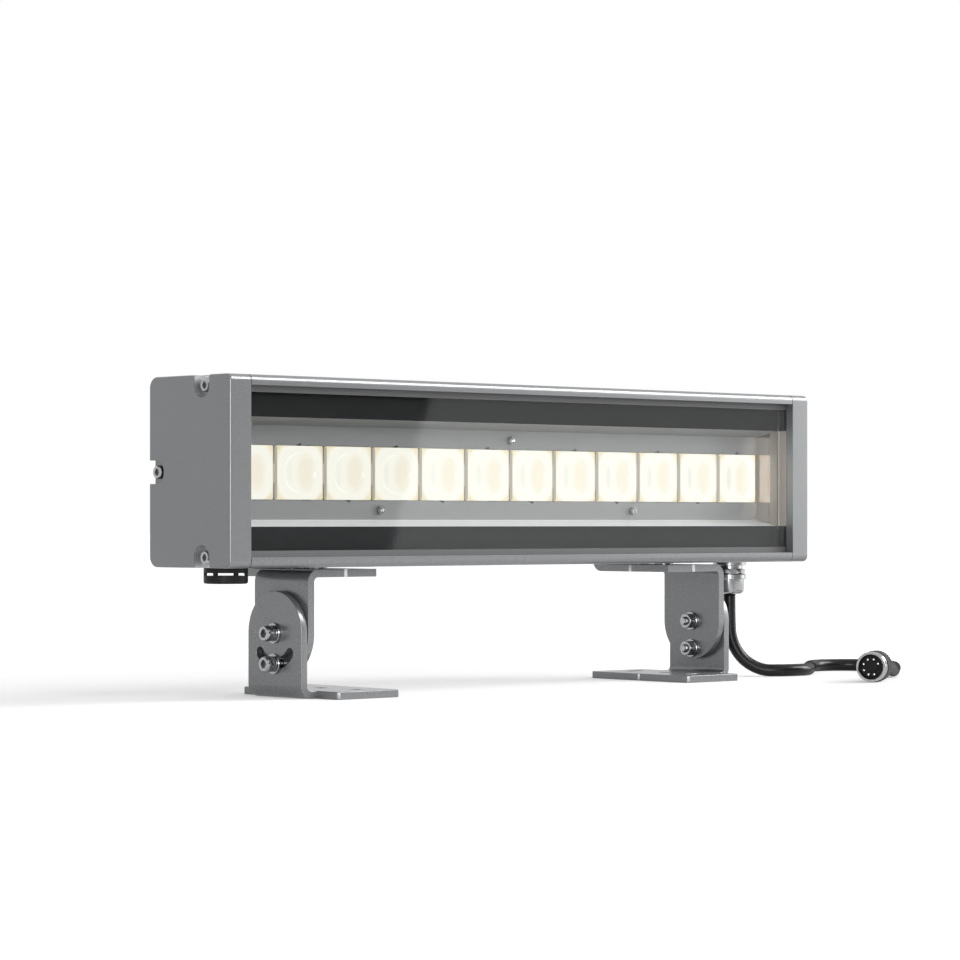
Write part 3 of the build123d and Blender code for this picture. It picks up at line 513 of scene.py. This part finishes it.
def edged_copy(node, width, name):
    """A copy of a CAD node with its sharp edges rounded, which stands for the node."""
    same_place, same_plane = 0.002 * MM, math.radians(0.6)
    mesh = bmesh.new()
    mesh.from_mesh(nodes[node].data)
    bmesh.ops.remove_doubles(mesh, verts=mesh.verts, dist=same_place)
    bmesh.ops.dissolve_limit(mesh, angle_limit=same_plane, verts=mesh.verts, edges=mesh.edges)
    sharp = [edge for edge in mesh.edges
             if edge.is_manifold and edge.calc_face_angle() > BEVEL_ABOVE]
    bmesh.ops.bevel(mesh, geom=sharp, offset=width, offset_type="OFFSET", affect="EDGES",
                    segments=2, profile=0.5, material=-1, clamp_overlap=True)
    body = next(body for body, held in frame["record"]["behaviour"]["bodies"].items()
                if node in held)
    return finished(name, mesh, SLOT_OF[node], body, [node], flat_faces=True)


# ---------------------------------------------------------------- fasteners
def socket_screw(thread_radius, length, head_radius, head_height, key):
    """Socket head cap screw: knurled head on z 0, threaded shank below it."""
    segments = 48
    grip = knurl(head_radius, 0.035 * head_radius, segments)
    rings = [(-length, 0.72 * thread_radius)]
    rings += thread(thread_radius, 0.13 * thread_radius, 0.33 * thread_radius,
                    -length + 0.25 * thread_radius, min(-0.3, -length + 4 * thread_radius))
    rings += [(0, thread_radius * 0.98), (0, head_radius * 0.94), (0.06 * head_height, grip),
              (0.82 * head_height, grip), (0.86 * head_height, head_radius * 0.955),
              (head_height, head_radius * 0.87), (head_height, flats(key * 1.12)),
              (0.95 * head_height, flats(key)), (0.45 * head_height, flats(key))]
    return turned(rings, segments)


def hex_nut(width, height, bore):
    """Hexagon nut on z 0 with turned corners on both faces and a countersunk thread."""
    crest = width / 2 * 1.135
    rings = [(0, bore * 1.12), (0, flats(width, width / 2 * 0.97)),
             (0.08 * height, flats(width, crest * 0.95)), (0.2 * height, flats(width)),
             (0.8 * height, flats(width)), (0.92 * height, flats(width, crest * 0.95)),
             (height, flats(width, width / 2 * 0.97)), (height, bore * 1.12),
             (0.88 * height, bore)]
    return turned(rings, 48, hollow=True)


def flat_washer(outer, inner, thickness):
    """Washer on z 0 with rounded edges."""
    edge = 0.12 * thickness
    return turned([(0, inner), (0, outer - edge), (edge, outer), (thickness - edge, outer),
                   (thickness, outer - edge), (thickness, inner)], 48, hollow=True)


def split_washer(outer, inner, thickness):
    """Spring washer on z 0: a square section wound once, its ends a little apart."""
    wire, rise, steps = thickness * 0.8, thickness * 0.2, 40
    mesh = bmesh.new()
    section = [mesh.verts.new((reach * MM, 0, height * MM)) for reach, height in
               ((inner, 0), (outer, 0), (outer, wire), (inner, wire))]
    face = mesh.faces.new(section)
    bmesh.ops.spin(mesh, geom=[face], axis=(0, 0, 1), cent=(0, 0, 0),
                   dvec=(0, 0, rise / steps * MM), angle=math.radians(346),
                   steps=steps, use_merge=False, use_duplicate=False)
    bmesh.ops.recalc_face_normals(mesh, faces=mesh.faces)
    return mesh


def fit_hinge_fasteners():
    """Pivot and lock bolts of both brackets, with their washers, spring washers and nuts."""
    thread_radius, head_radius, head_height, key = 3, 5, 6, 5
    washer = (6.5, 3.05, 1.6)
    spring_washer = (5.2, 3.05, 1.6)
    nut = (10, 5, 2.8)
    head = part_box("hinge_bolts")[1].x - head_height * MM
    inner_end = min(abs(vert.co.x) for vert in nodes["hinge_bolts"].data.vertices)
    length = (head - inner_end) / MM
    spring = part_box("hinge_washers")[1].x
    washer_out = spring - washer[-1] * MM
    washer_in = min(abs(vert.co.x) for vert in nodes["hinge_washers"].data.vertices)
    lock_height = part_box("hinge_bolts")[0].z + head_radius * MM
    groups = {"hinge_bolts": [], "hinge_washers": [], "spring_washers": [], "hinge_nuts": []}
    for side, height in itertools.product((-1, 1), (PIVOT.z, lock_height)):
        def at(x, way=1):
            return set_on((side * x, 0, height), (side * way, 0, 0))
        bolt = socket_screw(thread_radius, length, head_radius, head_height, key)
        groups["hinge_bolts"].append((bolt, at(head)))
        groups["hinge_washers"].append((flat_washer(*washer), at(washer_out)))
        groups["hinge_washers"].append((flat_washer(*washer), at(washer_in)))
        groups["spring_washers"].append((split_washer(*spring_washer), at(spring)))
        groups["hinge_nuts"].append((hex_nut(*nut), at(washer_in, -1)))
    for node, pieces in groups.items():
        finished(node + "_turned", combined(pieces), "steel", "head", [node])


def fit_cap_screws():
    """Three socket screws in the pockets of each end cap."""
    thread_radius, length, head_width, head_height, key = 2.5, 20, 8.5, 5, 4
    cap_pocket, back_pocket = 7.0, 5.0
    for side, name in ((-1, "left"), (1, "right")):
        node = "end_cap_screws_" + name
        low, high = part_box(node)
        half = head_width / 2 * MM
        deep = LAMP_HIGH.x - cap_pocket * MM
        back = LAMP_HIGH.x - back_pocket * MM
        places = [(deep, low.y + half, low.z + half), (deep, low.y + half, high.z - half),
                  (back, high.y - half, OPTICS_MIDDLE)]
        pieces = [(socket_screw(thread_radius, length, head_width / 2, head_height, key),
                   set_on((side * seat, y, z), (side, 0, 0))) for seat, y, z in places]
        finished(node + "_turned", combined(pieces), "steel", "head", [node])


def fit_tray_screws():
    """Small socket screws of the optics tray: two below and one above."""
    thread_radius, length, head_radius, head_height, key = 1.5, 11, 2.75, 3, 2.5
    low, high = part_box("tray_screws")
    seat = low.y + head_height * MM
    reach = high.x - head_radius * MM
    low_row, high_row = low.z + head_radius * MM, high.z - head_radius * MM
    places = [(-reach, low_row), (reach, low_row), (0, high_row)]
    pieces = [(socket_screw(thread_radius, length, head_radius, head_height, key),
               set_on((x, seat, z), (0, -1, 0))) for x, z in places]
    finished("tray_screws_turned", combined(pieces), "steel", "head", ["tray_screws"])


def fit_end_beads():
    """Foam beads that close the gap between the tray's ends and the end seals."""
    tray_end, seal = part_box("optic_tray")[1].x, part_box("end_seal_right")[0].x
    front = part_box("mask_top")[0].y
    width, depth, height = seal - tray_end, 6 * MM, 2 * BEAD_HALF_HEIGHT
    rounding = 0.2 * MM
    pieces = []
    for side in (-1, 1):
        bead = bmesh.new()
        bmesh.ops.create_cube(bead, size=1.0)
        bmesh.ops.scale(bead, vec=(width, depth, height), verts=bead.verts)
        upright = [edge for edge in bead.edges
                   if abs(edge.verts[0].co.z - edge.verts[1].co.z) > height / 2]
        bmesh.ops.bevel(bead, geom=upright, offset=rounding, offset_type="OFFSET",
                        affect="EDGES", segments=2, profile=0.5, material=-1)
        middle = (side * (tray_end + width / 2), front + depth / 2, OPTICS_MIDDLE)
        pieces.append((bead, Matrix.Translation(middle)))
    beads = finished("tray_end_beads", combined(pieces), "seal", "head")
    beads.data.materials[0] = plain_moulding("pale_foam", (0.62, 0.57, 0.51), roughness=0.7)


# ---------------------------------------------------------------- gland, cable and connector
def fit_gland():
    """Cable gland: flanged body with hexagon, and a dome nut with a collar."""
    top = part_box("gland_nut")[1].z
    body_low, body_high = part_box("gland_body")
    lamp_low = LAMP_LOW.z
    bore, shank = 4.45, 8.0
    body = turned([((body_high.z - lamp_low) / MM, shank - 0.6), (0, shank - 0.3), (0, 11.6),
                   (-0.4, 12.0), (-2.4, 12.0), (-2.8, 11.6), (-2.8, 9.5), (-5.2, 9.5),
                   (-5.2, flats(20.5, 10.6)), (-5.8, flats(20.5)), (-8.4, flats(20.5)),
                   (-9.0, flats(20.5, 10.6)), (-9.0, bore)], 72, hollow=True)
    body_place = Matrix.Translation((GLAND_X, 0, lamp_low))
    finished("gland_body_turned", combined([(body, body_place)]), "nickel", "head",
             ["gland_body"])
    nut = turned([(0, bore), (0, 11.5), (-0.5, 12.0), (-3.3, 12.0), (-3.8, 11.5),
                  (-3.8, flats(20.6, 10.75)), (-11.0, flats(20.6, 10.75)),
                  (-12.8, flats(20.6, 10.3)), (-13.9, 9.3), (-14.5, 8.0), (-14.6, 6.2),
                  (-14.2, 5.0), (-13.2, bore)], 72, hollow=True)
    nut_place = Matrix.Translation((GLAND_X, 0, top))
    finished("gland_nut_turned", combined([(nut, nut_place)]), "nickel", "head", ["gland_nut"])


def route_curve(name, radius):
    """The cable's line as a NURBS curve, with a round section if a radius is given."""
    curve = bpy.data.curves.new(name, "CURVE")
    curve.dimensions = "3D"
    curve.resolution_u = 14
    curve.bevel_depth = radius
    curve.bevel_resolution = 7
    line = curve.splines.new("NURBS")
    line.points.add(len(CABLE_ROUTE) - 1)
    for point, place in zip(line.points, CABLE_ROUTE):
        point.co = (*(Vector(place) * MM), 1)
    line.order_u = 3
    line.use_endpoint_u = True
    drawn = bpy.data.objects.new(name, curve)
    made = bpy.data.meshes.new_from_object(drawn)
    bpy.data.objects.remove(drawn)
    bpy.data.curves.remove(curve)
    return made


def lay_cable(ends):
    """The supply cable from the gland along the floor to its connector."""
    line = route_curve("cable_line", 0)
    bpy.data.meshes.remove(line)
    tube = bmesh.new()
    tube.from_mesh(route_curve("cable_tube", CABLE_RADIUS))
    bmesh.ops.remove_doubles(tube, verts=tube.verts, dist=0.01 * MM)
    bmesh.ops.holes_fill(tube, edges=tube.edges, sides=0)
    bmesh.ops.recalc_face_normals(tube, faces=tube.faces)
    cable = new_object("supply_cable", tube, FINISHES["cable_jacket"])
    soften(cable)
    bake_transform(cable)
    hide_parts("cable")


def fit_connector():
    """In-line connector: threaded shell, knurled body, boot, insert and seven pins."""
    mount = mounts["connector_thread"]
    back = -Vector(mount["axis"])
    front = Vector(mount["pos_m"]) - back * mount["dims"]["length_mm"] / 2 * MM
    place = set_on(front, back)
    shell = turned([(7.5, 8.8), (7.5, 10.2), (7.2, 10.45)]
                   + thread(10.5, 0.45, 1.5, 6.9, 1.5)
                   + [(0.9, 10.45), (0.35, 10.35), (0, 9.9), (0, 9.2), (0.35, 8.8)], 96,
                   hollow=True)
    grip = knurl(11.0, 0.5, 72)
    body = turned([(7.5, 9.0), (7.5, 10.3), (7.9, 10.7), (8.3, 10.7), (8.5, grip), (14.6, grip),
                   (14.9, 10.4), (15.4, 10.4), (15.6, grip), (18.2, grip), (18.9, 10.0),
                   (19.1, 8.4)], 72)
    ribs = [(16.5, 7.5)]
    for rib in range(3):
        wide, start = 6.6 - rib * 0.5, 19.3 + rib * 2.4
        ribs += [(start, wide), (start + 1.3, wide - 0.2), (start + 1.6, wide - 0.9),
                 (start + 2.1, wide - 0.9)]
    boot = turned(ribs + [(27.0, 5.5), (27.5, 4.9)], 48)
    insert = turned([(7.5, 8.75), (5.2, 8.75), (5.0, 8.5), (5.0, 8.1), (5.5, 7.9), (5.5, 3.6),
                     (4.6, 3.5), (4.5, 3.2), (4.5, 0.8)], 48)
    pin_circle, pin_count = 5.6, 7
    pins = []
    for index in range(pin_count):
        angle = FULL_TURN / (pin_count + 1) * index
        offset = Matrix.Translation((pin_circle * math.cos(angle) * MM,
                                     pin_circle * math.sin(angle) * MM, 0))
        pin = turned([(5.4, 0.8), (1.7, 0.8), (1.25, 0.68), (1.05, 0.4), (1.0, 0.15)], 20)
        pins.append((pin, place @ offset))
    pieces = (("connector_shell", [(shell, place)], "nickel", "connector_ring"),
              ("connector_grip", [(body, place)], "black_plastic", "connector_body"),
              ("connector_strain_boot", [(boot, place)], "black_plastic", "connector_boot"),
              ("connector_face", [(insert, place)], "black_plastic", "connector_insert"),
              ("connector_contacts", pins, "pin_metal", "connector_pins"))
    return [finished(name, combined(meshes), slot, "base", [node])
            for name, meshes, slot, node in pieces]


# ---------------------------------------------------------------- studio
def add_lamp(name, kind, energy, place, aim=(0, 0, 0), **settings):
    """A lamp at a place that points at another, with settings of its own."""
    data = bpy.data.lights.new(name, kind)
    data.energy = energy
    for setting, value in settings.items():
        setattr(data, setting, value)
    lamp = bpy.data.objects.new(name, data)
    lamp.location = place
    lamp.rotation_mode = "QUATERNION"
    lamp.rotation_quaternion = (Vector(aim) - Vector(place)).to_track_quat("-Z", "Y")
    bpy.context.scene.collection.objects.link(lamp)
    return lamp


def white_seen(tree):
    """Socket that is 1 for rays from the camera, a mirror or glass and 0 for the rest."""
    rays = tree.nodes.new("ShaderNodeLightPath")
    seen = rays.outputs["Is Camera Ray"]
    for name in ("Is Glossy Ray", "Is Transmission Ray"):
        both = tree.nodes.new("ShaderNodeMath")
        both.operation = "MAXIMUM"
        tree.links.new(seen, both.inputs[0])
        tree.links.new(rays.outputs[name], both.inputs[1])
        seen = both.outputs[0]
    return seen


def set_world(ambient, seen_strength):
    """Even room light of one strength, which is seen and mirrored at another."""
    world = bpy.data.worlds.new("studio")
    world.use_nodes = True
    tree = world.node_tree
    background = tree.nodes["Background"]
    background.inputs["Color"].default_value = (1, 1, 1, 1)
    strength = tree.nodes.new("ShaderNodeMapRange")
    tree.links.new(white_seen(tree), strength.inputs["Value"])
    strength.inputs["To Min"].default_value = ambient
    strength.inputs["To Max"].default_value = seen_strength
    tree.links.new(strength.outputs[0], background.inputs["Strength"])
    bpy.context.scene.world = world


def lay_floor(albedo, lift):
    """Pale floor that renders white where nothing shades it."""
    mesh = bmesh.new()
    bmesh.ops.create_circle(mesh, cap_ends=True, segments=96, radius=30.0)
    paint = Paint("studio_floor")
    tree = paint.tree
    paint.set(Base_Color=(albedo,) * 3, Roughness=1.0, Specular_IOR_Level=0.0)
    glow = paint.node("ShaderNodeEmission", {}, Color=(1, 1, 1))
    lifted = tree.nodes.new("ShaderNodeMapRange")
    tree.links.new(white_seen(tree), lifted.inputs["Value"])
    lifted.inputs["To Max"].default_value = lift
    tree.links.new(lifted.outputs[0], glow.socket.node.inputs["Strength"])
    paint.show(paint.node("ShaderNodeAddShader", {}, paint.main(), glow))
    new_object("studio_floor", mesh, paint.material)


def hang_card(low, high, lean, depth):
    """Dark card that only mirrors see: its near edge leans, the rest runs out of sight."""
    mesh = bmesh.new()
    near = [Vector(low), Vector(high) + Vector(lean)]
    corners = [near[0], near[0] + Vector(depth), near[1] + Vector(depth), near[1]]
    mesh.faces.new([mesh.verts.new(corner) for corner in corners])
    paint = Paint("dark_card")
    paint.set(Base_Color=(0.02, 0.02, 0.02), Roughness=1.0, Specular_IOR_Level=0.0)
    card = new_object("dark_card", mesh, paint.material)
    for kind in ("camera", "diffuse", "transmission", "volume_scatter", "shadow"):
        setattr(card, "visible_" + kind, False)


def set_camera():
    """The photograph's camera: level, low and well to the left."""
    data = bpy.data.cameras.new("camera")
    data.sensor_width = 36.0
    data.lens = 120.9
    data.shift_y = 0.04375
    data.clip_end = 100.0
    camera = bpy.data.objects.new("camera", data)
    camera.location = (-1.4871, -1.6018, 0.1119)
    camera.rotation_euler = (math.radians(90), 0, math.radians(-42.5))
    bpy.context.scene.collection.objects.link(camera)
    bpy.context.scene.camera = camera


# ---------------------------------------------------------------- add-on
class WasherSizes(bpy.types.PropertyGroup):
    """Sizes that a user would change."""
    metal_edge: bpy.props.FloatProperty(
        name="Metal edge", description="Rounding of cast and cut edges",
        default=0.0007, min=0.0001, max=0.002, unit="LENGTH", precision=5)
    sheet_edge: bpy.props.FloatProperty(
        name="Sheet edge", description="Rounding of the brackets' sheet edges",
        default=0.0005, min=0.0001, max=0.002, unit="LENGTH", precision=5)


class StudioLevels(bpy.types.PropertyGroup):
    """Light levels of the studio."""
    ambient: bpy.props.FloatProperty(
        name="Room light", description="Strength of the room's even light",
        default=0.52, min=0.0, max=3.0)
    key: bpy.props.FloatProperty(
        name="Key light", description="Strength of the sun from the right",
        default=1.65, min=0.0, max=10.0)
    fill: bpy.props.FloatProperty(
        name="Front fill", description="Strength of the soft light on the front",
        default=2.5, min=0.0, max=10.0)
    softbox: bpy.props.FloatProperty(
        name="Softbox", description="Power of the large softbox on the right", default=28.0,
        min=0.0, max=200.0, subtype="POWER")
    glint: bpy.props.FloatProperty(
        name="Glints", description="Strength of the two lamps that only shiny edges show",
        default=1.2, min=0.0, max=10.0)


class WASHER_OT_edges(bpy.types.Operator):
    """Round the edges of the housing, caps and brackets"""
    bl_idname = "washer.edges"
    bl_label = "Rounded metal edges"

    def execute(self, context):
        sizes = context.scene.washer_sizes
        edged_copy("housing_profile", sizes.metal_edge, "housing_profile_edged")
        # The caps' coat, with painted light in their screw pockets.
        cast = powder_coat("cast_cap_coat_pocket_light", pockets=True)
        for node in ("end_cap_left", "end_cap_right"):
            cap = edged_copy(node, sizes.metal_edge, node + "_edged")
            cap.data.materials[0] = cast
        for side in ("left", "right"):
            for kind in ("foot_bracket_", "upper_bracket_"):
                edged_copy(kind + side, sizes.sheet_edge, kind + side + "_edged")
        return {"FINISHED"}


class WASHER_OT_finishes(bpy.types.Operator):
    """Give every CAD node the finish of its material slot"""
    bl_idname = "washer.finishes"
    bl_label = "Finishes"

    def execute(self, context):
        for name, node in nodes.items():
            node.data.materials.clear()
            node.data.materials.append(FINISHES[SLOT_OF[name]])
        nodes["optic_tray"].data.materials[0] = tray_metal()
        gasket = end_gasket()
        for side in ("left", "right"):
            nodes["end_seal_" + side].data.materials[0] = gasket
        return {"FINISHED"}


class WASHER_OT_fasteners(bpy.types.Operator):
    """Fit the screws, washers and nuts"""
    bl_idname = "washer.fasteners"
    bl_label = "Fasteners"

    def execute(self, context):
        fit_hinge_fasteners()
        fit_cap_screws()
        fit_tray_screws()
        fit_end_beads()
        return {"FINISHED"}


class WASHER_OT_gland(bpy.types.Operator):
    """Fit the cable gland"""
    bl_idname = "washer.gland"
    bl_label = "Cable gland"

    def execute(self, context):
        fit_gland()
        return {"FINISHED"}


class WASHER_OT_cable(bpy.types.Operator):
    """Lay the supply cable with its connector"""
    bl_idname = "washer.cable"
    bl_label = "Cable and connector"

    def execute(self, context):
        lay_cable(fit_connector())
        return {"FINISHED"}


class WASHER_OT_stage(bpy.types.Operator):
    """Set up the studio: floor, room light, lamps and camera"""
    bl_idname = "washer.stage"
    bl_label = "Studio"

    def execute(self, context):
        levels = context.scene.washer_studio
        set_camera()
        set_world(levels.ambient, seen_strength=1.0)
        lay_floor(albedo=0.80, lift=0.31)
        add_lamp("key_sun", "SUN", levels.key, (2.72, -1.27, 1.8), angle=math.radians(24))
        fill = add_lamp("front_fill", "SUN", levels.fill, (0.4, -2.0, 0.45),
                        angle=math.radians(50))
        fill.visible_glossy = False
        add_lamp("white_wall", "AREA", levels.softbox, (3.1, -1.25, 0.75),
                 aim=(0, -0.04, 0.35), shape="RECTANGLE", size=1.8, size_y=1.4)
        glints = {"corner_glint": (-2.0, -1.9, 0.35), "lip_glint": (1.6, -1.7, 2.0)}
        for name, place in glints.items():
            glint = add_lamp(name, "SUN", levels.glint, place, angle=math.radians(18))
            glint.visible_diffuse = False
        hang_card(low=(1.78, -2.26, 0.0), high=(1.78, -2.26, 1.4), lean=(0.26, 0.24, 0.0),
                  depth=(-2.6, -1.2, 0.0))
        return {"FINISHED"}


OPERATORS = (WASHER_OT_stage, WASHER_OT_finishes, WASHER_OT_edges, WASHER_OT_fasteners,
             WASHER_OT_gland, WASHER_OT_cable)


class WASHER_PT_panel(bpy.types.Panel):
    """Lists the steps that dress the wall washer"""
    bl_idname = "WASHER_PT_panel"
    bl_label = "Wall washer"
    bl_space_type = "VIEW_3D"
    bl_region_type = "UI"
    bl_category = "Wall washer"

    def draw(self, context):
        for group in (context.scene.washer_sizes, context.scene.washer_studio):
            for name in group.bl_rna.properties.keys():
                if name not in ("rna_type", "name"):
                    self.layout.prop(group, name)
        for operator in OPERATORS:
            self.layout.operator(operator.bl_idname)


CLASSES = (WasherSizes, StudioLevels, *OPERATORS, WASHER_PT_panel)


def register():
    for kind in CLASSES:
        bpy.utils.register_class(kind)
    bpy.types.Scene.washer_sizes = bpy.props.PointerProperty(type=WasherSizes)
    bpy.types.Scene.washer_studio = bpy.props.PointerProperty(type=StudioLevels)


def unregister():
    del bpy.types.Scene.washer_studio
    del bpy.types.Scene.washer_sizes
    for kind in reversed(CLASSES):
        bpy.utils.unregister_class(kind)


def main():
    """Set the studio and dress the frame."""
    register()
    bpy.context.scene.view_settings.view_transform = "Standard"
    for operator in OPERATORS:
        name = operator.bl_idname.split(".")[1]
        getattr(bpy.ops.washer, name)()


if __name__ == "__main__":
    main()
